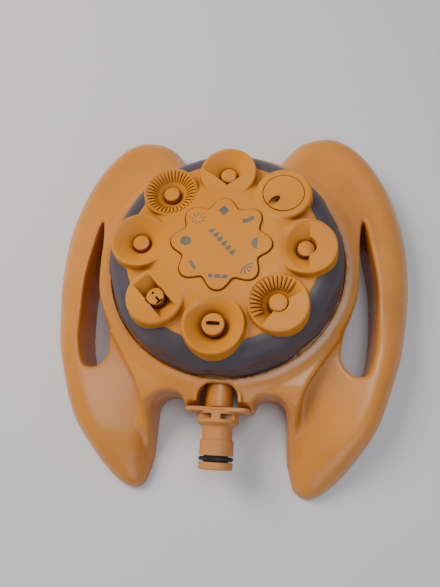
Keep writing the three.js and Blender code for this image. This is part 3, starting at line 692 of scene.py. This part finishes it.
# ---- dial ---------------------------------------------------------------------------------------
CUPS = ("right", "top_right", "top", "top_left", "left", "bottom_left", "bottom", "bottom_right")
CUP_ANGLES = {kind: 45 * k for k, kind in enumerate(CUPS)}
CARDINAL = ("right", "top", "left", "bottom")
CUP_FLARE = 0.16  # how far the cups and the web widen for each millimetre down
SCALLOP_REACH = 4.2
DENT_REACH = 5
SKIRT_SEGMENTS = 320
SKIRT_STEPS = 41
PLATE_BOX = (-57, -57, 40.6), (57, 57, 51)
PLATE_STEP = 0.42
WEB_FALL_FROM_R, WEB_FALL_TO_R = 27, 43


def cup_centre(kind):
    c, n = direction(CUP_ANGLES[kind])
    return PORT_R * c, PORT_R * n


def in_cup(kind, x, y):
    """Places in a cup's own axes: u outward from the hub and v to the left of it."""
    c, n = direction(CUP_ANGLES[kind])
    return x * c + y * n - PORT_R, -x * n + y * c


def plate_edge(a):
    """Plan radius of the nozzle plate's lobed edge at angle a."""
    off = (a + TAU / 16) % (TAU / 8) - TAU / 16
    chord = CUP_R**2 - (PORT_R * math.sin(off)) ** 2
    lobe = PORT_R * math.cos(off) + math.sqrt(chord) if chord > 0 else 0
    return max(lobe, WEB_R)


def scalloped(r, z, a):
    """Skirt radius with finger hollows between the cups and a shallow dent below each cup."""
    wave = math.cos(8 * a)
    hollow = max(0, -wave) ** 1.2 * math.exp(-(((z - SCALLOP_Z) / SCALLOP_REACH) ** 2)) * SCALLOP_DEPTH
    dent = max(0, wave) ** 3 * math.exp(-(((z - SKIRT[0][1]) / DENT_REACH) ** 2)) * DENT_DEPTH
    return r - hollow - dent


def make_skirt():
    outer = curve(SKIRT, closed=False, steps=4)
    rings = []
    for k in range(SKIRT_SEGMENTS):
        a = TAU * k / SKIRT_SEGMENTS
        lip = plate_edge(a) - SKIRT_UNDER_CUP
        section = [(scalloped(r, z, a), z) for r, z in outer if scalloped(r, z, a) > lip + 0.2]
        end_z = section[-1][1]
        arc = np.linspace(0, 1, SKIRT_STEPS)
        share = np.linspace(0, 1, len(section))
        along = np.interp(arc, share, [q[0] for q in section])
        up = np.interp(arc, share, [q[1] for q in section])
        loop = list(zip(along, up)) + [(lip, end_z), (lip, SKIRT_LIP_Z), *SKIRT_INSIDE]
        rings.append([(r * math.cos(a), r * math.sin(a), z) for r, z in loop])
    points, faces = rings_mesh(rings, loop=True)
    piece("dial_skirt_shell", points, faces, "turret", "charcoal_plastic", charcoal, node="dial_skirt",
          turn=REST_TURN, sharp=50)


def bowl(u, v, z, rim=13.1, rim_z=RIM_CARDINAL, floor_r=5.0, floor_z=BOWL_FLOOR, power=0.75):
    """Inside of a flared cup: steep round the nozzle hole, flat towards the rim."""
    r = np.hypot(u, v)
    t = np.clip((r - floor_r) / (rim - floor_r), 0, 1.15)
    height = floor_z + (rim_z - floor_z) * t**power
    return np.maximum((height - z) * 0.75, r - rim - 0.6)


def face(u, v, z, rim, level=FACE_Z):
    """Flat recess inside a rim."""
    return np.maximum(np.hypot(u, v) - rim, level - z)


def hole(u, v, z, r):
    """Round hole down through most of the plate."""
    return np.maximum(np.hypot(u, v) - r, PLATE_FOOT + 1 - z)


def cup_cut(kind, u, v, z):
    """What one cup takes out of the plate; u points outward from the hub."""
    bore = NOZZLE_R + 0.05
    if kind == "left":
        cut = bowl(u, v, z)
    elif kind == "top_left":
        cut = bowl(u, v, z, rim=12.5, rim_z=RIM_DIAGONAL - 0.7, floor_z=43.6, power=0.85)
    elif kind == "bottom":
        cut = bowl(u, v, z, floor_r=6.2)
        bore = 5.75
    elif kind == "right":
        cut = smooth_max(bowl(u, v, z), u - 1.3, 0.3)
        cut = np.minimum(cut, np.maximum(face(u, v, z, 13.2, RIM_CARDINAL - 0.45), 0.9 - u))
    elif kind == "top":
        half = math.radians(56)
        wedge = np.abs(v) * math.cos(half) - (u + 7.2) * math.sin(half)
        cut = smooth_max(bowl(u, v, z), wedge, 0.6)
    elif kind == "bottom_right":
        side = u - 1.0 - 0.16 * np.abs(v)
        dish = bowl(u, v, z, rim=12.7, rim_z=RIM_DIAGONAL - 0.9, floor_z=43.8, power=0.9)
        cut = smooth_max(dish, side, 0.3)
        cut = np.minimum(cut, np.maximum(face(u, v, z, 12.9, RIM_DIAGONAL - 0.3), 0.6 - u))
    elif kind == "bottom_left":
        ramp = BOWL_FLOOR - 0.4 + np.maximum(np.abs(v) - 4.6, 0) * 0.88
        cut = np.maximum(np.abs(u) - 4.25, (ramp - z) * 0.7)
    else:
        return np.maximum(np.hypot(u, v) - DISC_R, 45.3 - z)
    return np.minimum(cut, hole(u, v, z, bore))


def plate_field(x, y, z):
    """The lobed plate with its eight cups. Its middle is solid: no opening is cut for the spindle."""
    r = np.hypot(x, y)
    web_top = PLATE_TOP - WEB_FALL * smoothstep(WEB_FALL_FROM_R, WEB_FALL_TO_R, r)
    flare = np.maximum(PLATE_TOP - z, 0)
    body = raised(r - WEB_R - flare * CUP_FLARE, z, web_top, 1.8)
    for kind in CUP_ANGLES:
        u, v = in_cup(kind, x, y)
        d = np.hypot(u, v)
        inner = smoothstep(0, -12, u)
        if kind in CARDINAL:
            top = RIM_CARDINAL - (RIM_CARDINAL - PLATE_TOP) * 0.85 * inner
            cup = raised(d - CUP_R - 0.3 - flare * CUP_FLARE, z, top, 0.9)
        else:
            top = RIM_DIAGONAL - (RIM_DIAGONAL - PLATE_TOP) * inner
            cup = raised(d - CUP_R + 0.1 - flare * CUP_FLARE, z, top, 1.3)
        body = smooth_min(body, cup, 1.0)
    for kind in CUP_ANGLES:
        u, v = in_cup(kind, x, y)
        soft = 0.4 + (1.8 * smoothstep(-3, -11, u) if kind in CARDINAL else 0)
        body = smooth_max(body, -cup_cut(kind, u, v, z), soft)
    star = r - star_radius(np.arctan2(y, x)) - CAP_GAP
    pocket = np.maximum(star * 0.85, CAP_BOTTOM - CAP_GAP - z)
    body = smooth_max(body, -pocket, 0.3)
    return np.maximum(body, PLATE_FOOT - z)


def star_radius(a):
    """Outline of the centre cap: eight round points."""
    return CAP_R + CAP_WAVE * np.cos(8 * a) - 0.2 * np.cos(16 * a)


def make_plate():
    points, quads = surface(plate_field, *PLATE_BOX, PLATE_STEP)
    plate = piece("nozzle_plate_shell", points, quads, "turret", "orange_plastic", orange,
                  node="nozzle_plate", turn=REST_TURN)
    thinned(plate, MOST_TRIANGLES)


# Stations along a fin, as (radius, low, crest, half thickness)
FINS_ROUND = (
    (6.4, 43.4, 44.2, 0.34), (8.2, 44.6, 47.0, 0.44), (10.2, 45.8, 48.7, 0.56), (12.7, 47.0, 49.35, 0.72),
)
FINS_HALF = (
    (6.6, 43.6, 44.8, 0.38), (8.4, 44.8, 47.5, 0.49), (10.4, 46.0, 48.8, 0.63), (12.9, 47.0, 49.3, 0.82),
)
FIN_BEVEL = 0.22


def make_fins(name, kind, first, last, count, stations):
    """Radial fins standing in a cup between two angles from its outward direction."""
    points, faces = [], []
    cx, cy = cup_centre(kind)
    for k in range(count):
        turn = math.radians(first + (last - first) * (k + 0.5) / count)
        a = math.radians(CUP_ANGLES[kind]) + turn
        ca, sa = math.cos(a), math.sin(a)
        rings = []
        for r, low, high, half in stations:
            crest = ((-half * 1.15, low), (half * 1.15, low), (half, high - FIN_BEVEL), (half * 0.5, high),
                     (-half * 0.5, high), (-half, high - FIN_BEVEL))
            rings.append([(cx + r * ca - w * sa, cy + r * sa + w * ca, h) for w, h in crest])
        add_mesh(points, faces, rings_mesh(rings))
    piece(name, points, faces, "turret", "orange_plastic", orange, turn=REST_TURN, sharp=40)


STEM_R, STEM_FOOT, STEM_TOP = 1.9, 35, 42


def button(r, top):
    """Profile of a deflector button on its stem."""
    return [(STEM_R, STEM_FOOT), (STEM_R, STEM_TOP), (r, 42.2), (r, top - 0.5), (r - 0.14, top - 0.18),
            (r - 0.5, top)]


def make_button(name, node, kind, r, top):
    points, faces = stacked(button(r, top), 48, cup_centre(kind))
    piece(name, points, faces, "turret", "orange_plastic", orange, node=node, turn=REST_TURN, sharp=35)


def local_field(kind, shape):
    """A field round one cup's centre, from a shape given in that cup's own axes."""
    return lambda x, y, z: shape(*in_cup(kind, x, y), z)


def cup_box(kind, half, low, high):
    """Low and high corners of a box round one cup's centre."""
    cx, cy = cup_centre(kind)
    return (cx - half, cy - half, low), (cx + half, cy + half, high)


def fan_post(u, v, z):
    """Round post with a slot across it that is widest in the middle."""
    post = raised(np.hypot(u, v) - 5.15, z, HIGH_BUTTON, 0.6)
    bulge = 0.25 * np.cos(np.clip(v / 2.9, -1, 1) * 1.4)
    slot = np.maximum(np.maximum(np.abs(u + 0.3) - 0.72 - bulge, np.abs(v) - 3.0), 45.2 - z)
    return np.maximum(smooth_max(post, -slot, 0.2), INSERT_FOOT - z)


def jet_barrel(u, v, z):
    """Barrel with a domed top, a slit with a cross nick, and a small eye."""
    dome = HIGH_BUTTON - 0.2 - 0.035 * v * v
    post = smooth_max(np.hypot(u, v) - 4.2, (z - dome) * 0.95, 0.5)
    slit = np.maximum(np.maximum(np.abs(u + 0.1) - 0.45, np.abs(v - 2.0) - 1.5), 44.5 - z)
    nick = np.maximum(np.maximum(np.abs(u + 0.1) - 1.6, np.abs(v - 3.3) - 0.4), 44.5 - z)
    eye = np.maximum(np.hypot(u + 0.2, v + 1.9) - 0.65, 45 - z)
    cuts = np.minimum(np.minimum(slit, nick), eye)
    return np.maximum(smooth_max(post, -cuts, 0.15), INSERT_FOOT - z)


def jet_disc(u, v, z):
    """Flat disc with a teardrop recess that leads to a small hole."""
    d = np.hypot(u, v)
    disc = raised(d - DISC_R + 0.22, z, RIM_DIAGONAL - 0.05, 0.2)
    along = (u + 6.2) / 3.6
    width = 1.75 - 0.35 * np.clip(-along, 0, 1)
    drop = np.hypot(along * width, v) - width
    deep = 46.9 + 1.9 * smoothstep(-4, -9.6, u)
    recess = np.maximum(drop, deep - z)
    eye = np.maximum(np.hypot(u + 4.0, v) - 0.95, 44 - z)
    disc = smooth_max(disc, -smooth_min(recess, eye, 0.2), 0.25)
    return np.maximum(disc, 45.6 - z)


def make_inserts():
    for name, kind, shape, node, half, step in (
        ("fan_post_body", "bottom", fan_post, "fan_post", 6, 0.2),
        ("jet_barrel_body", "bottom_left", jet_barrel, "jet_barrel", 6, 0.18),
        ("jet_disc_body", "top_right", jet_disc, "jet_disc", 11, 0.24),
    ):
        points, quads = surface(local_field(kind, shape), *cup_box(kind, half, 41, 49.9), step)
        piece(name, points, quads, "turret", "orange_plastic", orange, node=node, turn=REST_TURN)
    for kind in ("right", "top", "top_left", "left"):
        make_button("button_" + kind, "pin_" + kind, kind, BUTTON_R, LOW_BUTTON)
    make_button("button_bottom_right", "pin_bottom_right", "bottom_right", BUTTON_R + 0.2, HIGH_BUTTON)


CAP_EDGE = (
    (0.0, CAP_BOTTOM), (0.0, CAP_TOP - 0.6), (-0.08, CAP_TOP - 0.32), (-0.25, CAP_TOP - 0.1),
    (-0.5, CAP_TOP), (-1.4, CAP_TOP),
)
CAP_SEGMENTS = 256


def make_cap():
    rings = []
    for inset, z in CAP_EDGE:
        ring = []
        for k in range(CAP_SEGMENTS):
            a = TAU * k / CAP_SEGMENTS
            r = float(star_radius(a)) + inset
            ring.append((r * math.cos(a), r * math.sin(a), z))
        rings.append(ring)
    piece("centre_cap_body", *rings_mesh(rings), "turret", "orange_plastic", orange, node="centre_cap",
          turn=REST_TURN, sharp=60)


# ---- print on the cap ---------------------------------------------------------------------------
DROP_COUNT = 6
DROP_SPACING = 3.1
DROP_SIZE = 1.42
DROP_SLANT = -46
DROP_MIDDLE = (0.6, 0.4)
PRINT_SUNK, PRINT_PROUD = 0.3, 0.03
FLAG = [(-3.1, -1.2), (0.6, -1.2), (3.1, -0.1), (2.5, 1.5), (-0.2, 0.9), (-3.1, 1.1)]


def placed(shape, degrees, at=(0, 0)):
    """A flat shape turned about its centre and set down at a place."""
    c, n = direction(degrees)
    return [(at[0] + x * c - y * n, at[1] + x * n + y * c) for x, y in shape]


def ellipse(rx, ry, steps, end=TAU):
    """Points round an ellipse, up to the angle end when that is less than a whole turn."""
    return [(rx * math.cos(a), ry * math.sin(a)) for a in np.linspace(0, end, steps, endpoint=end < TAU)]


def bar(length, width):
    x, y = length / 2, width / 2
    return [(-x, -y), (x, -y), (x, y), (-x, y)]


def rays(count, spread, inner, outer, width):
    """Short strokes fanned about the +X direction."""
    stroke = [(inner, -width * 0.3), (outer, -width / 2), (outer, width / 2), (inner, width * 0.3)]
    return [placed(stroke, -spread / 2 + spread * k / (count - 1)) for k in range(count)]


def drop(size):
    """Water drop pointing along +Y."""
    shape = []
    for a in np.linspace(-math.pi / 2, 1.5 * math.pi, 22, endpoint=False):
        pinch = 0.5 + 0.5 * math.sin(a)
        shape.append((size * math.cos(a) * (1 - 0.75 * pinch**1.6), size * (math.sin(a) + 0.35 * pinch**3)))
    return shape


def print_marks():
    """Outlines of the plain printed shapes: one beside each cup, and a slanted row of drops."""
    marks = [  # angle round the cap, radius, turn of the mark, its shapes
        (90, 17.2, 45, [bar(3.9, 3.9)]),
        (45, 17.6, 20, [FLAG]),
        (0, 17.3, 90, [ellipse(3.0, 2.9, 14, math.pi)]),
        (315, 16.4, 315, rays(5, 120, 0.9, 4.4, 0.8)),
        (270, 17.6, 0, [bar(2.7, 1.9), placed(bar(2.7, 1.9), 0, (3.2, 0)),
                        placed(bar(2.0, 1.9), 0, (-3.2, 0))]),
        (225, 17.4, 310, [bar(5.0, 1.7)]),
        (180, 16.9, 0, [ellipse(2.9, 2.6, 8)]),
        (135, 17.2, 135, rays(9, 320, 1.5, 3.4, 0.7)),
    ]
    outlines = []
    for angle, radius, tilt, shapes in marks:
        c, n = direction(angle)
        outlines += [placed(shape, tilt, (radius * c, radius * n)) for shape in shapes]
    c, n = direction(DROP_SLANT)
    for k in range(DROP_COUNT):
        along = (k - (DROP_COUNT - 1) / 2) * DROP_SPACING
        spot = (DROP_MIDDLE[0] + along * c, DROP_MIDDLE[1] + along * n)
        outlines.append(placed(drop(DROP_SIZE), DROP_SLANT, spot))
    return outlines


def make_print():
    points, faces = [], []
    for outline in print_marks():
        rings = [[(x, y, z) for x, y in outline] for z in (CAP_TOP - PRINT_SUNK, CAP_TOP + PRINT_PROUD)]
        add_mesh(points, faces, rings_mesh(rings))
    piece("cap_print", points, faces, "turret", "grey_plastic", ink, turn=REST_TURN, sharp=20)


make_skirt()
make_plate()
make_fins("ribs_top_left", "top_left", 0, 360, 36, FINS_ROUND)
make_fins("fins_bottom_right", "bottom_right", 98, 262, 16, FINS_HALF)
make_inserts()
make_cap()
make_print()


# ---- hose connector -----------------------------------------------------------------------------
CONNECTOR_BOX = (-16.2, -101.4, 9.4), (16.2, -69.6, 29)
CONNECTOR_STEP = 0.28


def connector_field(x, y, z):
    """Flange, windowed collar, waist, nose with the O-ring groove, and the water way through them."""
    h = z - PIPE_Z
    r = np.hypot(x, h)
    s = np.abs(x)
    qx = np.maximum(s - FLANGE_WIDE + FLANGE_CORNER, 0)
    qh = np.maximum(np.abs(h) - FLANGE_HIGH + FLANGE_CORNER, 0)
    flange = smooth_max(np.hypot(qx, qh) - FLANGE_CORNER, slab(y, FLANGE_Y, FLANGE_HALF), 0.7)
    collar_r = COLLAR_R - np.clip((COLLAR_TAPER_Y - y) * COLLAR_TAPER, 0, COLLAR_TAPER_MOST)
    collar = smooth_max(r - collar_r, slab(y, COLLAR_Y, COLLAR_HALF), 0.6)
    window = np.maximum(slab(s, WINDOW_X, WINDOW_WIDE), slab(y, WINDOW_Y, WINDOW_LONG))
    collar = smooth_max(collar, -np.maximum(window, WINDOW_FROM_H - np.abs(h)), 0.3)
    waist = smooth_max(r - WAIST_R, slab(y, WAIST_Y, WAIST_HALF), 0.3)
    nose = smooth_max(r - NOSE_R, slab(y, NOSE_Y, NOSE_HALF), NOSE_ROUND)
    groove = np.maximum(slab(y, GROOVE_Y, GROOVE_HALF), GROOVE_R - r)
    nose = smooth_max(nose, -groove, 0.25)
    body = smooth_min(smooth_min(flange, collar, 0.8), smooth_min(waist, nose, 0.5), 0.8)
    spigot = np.maximum(r - SPIGOT_R, slab(y, SPIGOT_Y, SPIGOT_HALF))
    body = np.minimum(body, spigot)
    bore = np.where(y < BORE_STEP_Y, r - BORE_OUTSIDE, r - BORE_INSIDE)
    return smooth_max(body, -bore, 0.3)


def round_pipe(loop, segments):
    """Ring-shaped solid round the pipe axis from a closed (r, y) loop."""
    rings = []
    for k in range(segments):
        a = TAU * k / segments
        rings.append([(r * math.cos(a), y, PIPE_Z + r * math.sin(a)) for r, y in loop])
    points, faces = rings_mesh(rings, loop=True)
    return points, [tuple(reversed(f)) for f in faces]


def hoop(radius, wire, y, steps=16):
    """Circle of radius wire, as an (r, y) loop."""
    angles = [TAU * k / steps for k in range(steps)]
    return [(radius + wire * math.cos(a), y + wire * math.sin(a)) for a in angles]


def make_water_way():
    points, quads = surface(connector_field, *CONNECTOR_BOX, CONNECTOR_STEP)
    piece("hose_connector_body", points, quads, "base", "orange_plastic", orange_pale,
          node="hose_connector")
    piece("connector_ring", *round_pipe(hoop(WAIST_R, RING_WIRE, GROOVE_Y), 96), "base", "rubber", rubber,
          node="connector_o_ring")
    near, far = PIPE_ENDS
    pipe = rounded([(PIPE_BORE, near), (PIPE_R, near), (PIPE_R, far), (PIPE_BORE, far)], 0.4)
    # The tube takes the base's orange, whose wider painted shade darkens it inside the doorway.
    piece("water_tube_skin", *round_pipe(pipe, 96), "base", "orange_plastic", orange_base)


make_water_way()


# ---- materials of the pieces shown straight from the frame --------------------------------------
CAD_LOOKS = {
    "water_tube": orange, "inlet_o_ring": rubber, "tube_screw_left": steel, "tube_screw_right": steel,
    "outlet_seal": rubber, "seal_spring": steel, "detent_plunger": grey, "detent_spring": steel,
    "port_disc": grey, "spindle_washer": steel, "spindle_screw": steel,
}
for node, look_of in CAD_LOOKS.items():
    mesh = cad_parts[node].data
    mesh.materials.clear()
    mesh.materials.append(look_of)


# ---- camera, light, floor -----------------------------------------------------------------------
CAM_AZIMUTH = math.radians(18.81)
CAM_ELEVATION = math.radians(68.28)
CAM_ROLL = math.radians(-16.54)
CAM_AIM = (-5.25, -7.28)
CAM_DISTANCE = 247.4
CAM_LENS = 26.3407155
SENSOR = 36
FLOOR_HALF = 3.0  # metres, as are the lights' places and sizes
FLOOR_DROP = 0.0002
WORLD_COLOUR = (0.95, 0.96, 1.0, 1)
WORLD_STRENGTH = 0.42
WARM = (1.0, 0.95, 0.88)
COOL = (0.86, 0.93, 1.0)
BLUE = (0.84, 0.90, 1.0)
OVERHEAD = (0.17, 0.16, 1.0)
OVERHEAD_SIZE = (0.42, 0.44)


def make_camera():
    """Camera turned about the spot it aims at, then rolled about its own view line."""
    back = Vector((math.sin(CAM_AZIMUTH) * math.cos(CAM_ELEVATION),
                   -math.cos(CAM_AZIMUTH) * math.cos(CAM_ELEVATION), math.sin(CAM_ELEVATION)))
    right = Vector((math.cos(CAM_AZIMUTH), math.sin(CAM_AZIMUTH), 0))
    up = back.cross(right)
    side = right * math.cos(CAM_ROLL) + up * math.sin(CAM_ROLL)
    top = up * math.cos(CAM_ROLL) - right * math.sin(CAM_ROLL)
    data = bpy.data.cameras.new("camera")
    data.sensor_width = SENSOR
    data.lens = CAM_LENS
    data.clip_start = 0.01
    cam = bpy.data.objects.new("camera", data)
    place = (Vector((CAM_AIM[0], CAM_AIM[1] + HUB_Y, 0)) + back * CAM_DISTANCE) * MM
    matrix = cam.matrix_world.copy()
    for row in range(3):
        matrix[row] = (side[row], top[row], back[row], place[row])
    cam.matrix_world = matrix
    bpy.context.scene.collection.objects.link(cam)
    bpy.context.scene.camera = cam


def area_light(name, place, size, power, colour, lights=True, mirrored=True):
    """Rectangular light that faces the origin.

    Without lights it shows only in reflections, and without mirrored it stays out of them.
    """
    data = bpy.data.lights.new(name, "AREA")
    data.shape = "RECTANGLE"
    data.size, data.size_y = size
    data.energy = power
    data.color = colour
    lamp = bpy.data.objects.new(name, data)
    lamp.location = place
    lamp.visible_diffuse = lights
    lamp.visible_glossy = mirrored
    lamp.rotation_euler = (-Vector(place)).to_track_quat("-Z", "Y").to_euler()
    bpy.context.scene.collection.objects.link(lamp)


def make_floor():
    mesh = bpy.data.meshes.new("floor")
    mesh.from_pydata([(x, y, 0) for x, y in bar(2 * FLOOR_HALF, 2 * FLOOR_HALF)], [], [(0, 1, 2, 3)])
    floor = bpy.data.objects.new("floor", mesh)
    floor.location.z = -FLOOR_DROP
    m, tree, shader = new_material("pale_table")
    tone = mixed(tree, (0.56, 0.545, 0.55), (0.60, 0.585, 0.59), noise(tree, 3))
    tree.links.new(tone, shader.inputs["Base Color"])
    shader.inputs["Roughness"].default_value = 0.45
    mesh.materials.append(m)
    bpy.context.scene.collection.objects.link(floor)


def make_world():
    world = bpy.data.worlds.new("studio")
    world.use_nodes = True
    background = world.node_tree.nodes["Background"]
    background.inputs["Color"].default_value = WORLD_COLOUR
    background.inputs["Strength"].default_value = WORLD_STRENGTH
    bpy.context.scene.world = world


make_camera()
make_floor()
make_world()
area_light("main", (-0.56, 0.27, 0.68), (0.46, 0.46), 9.0, WARM, mirrored=False)
area_light("fill", OVERHEAD, OVERHEAD_SIZE, 2.7, COOL, mirrored=False)
area_light("ceiling", OVERHEAD, OVERHEAD_SIZE, 4.6, COOL, lights=False)
area_light("window", (0.35, -0.80, 0.60), (0.7, 0.5), 1.7, BLUE)
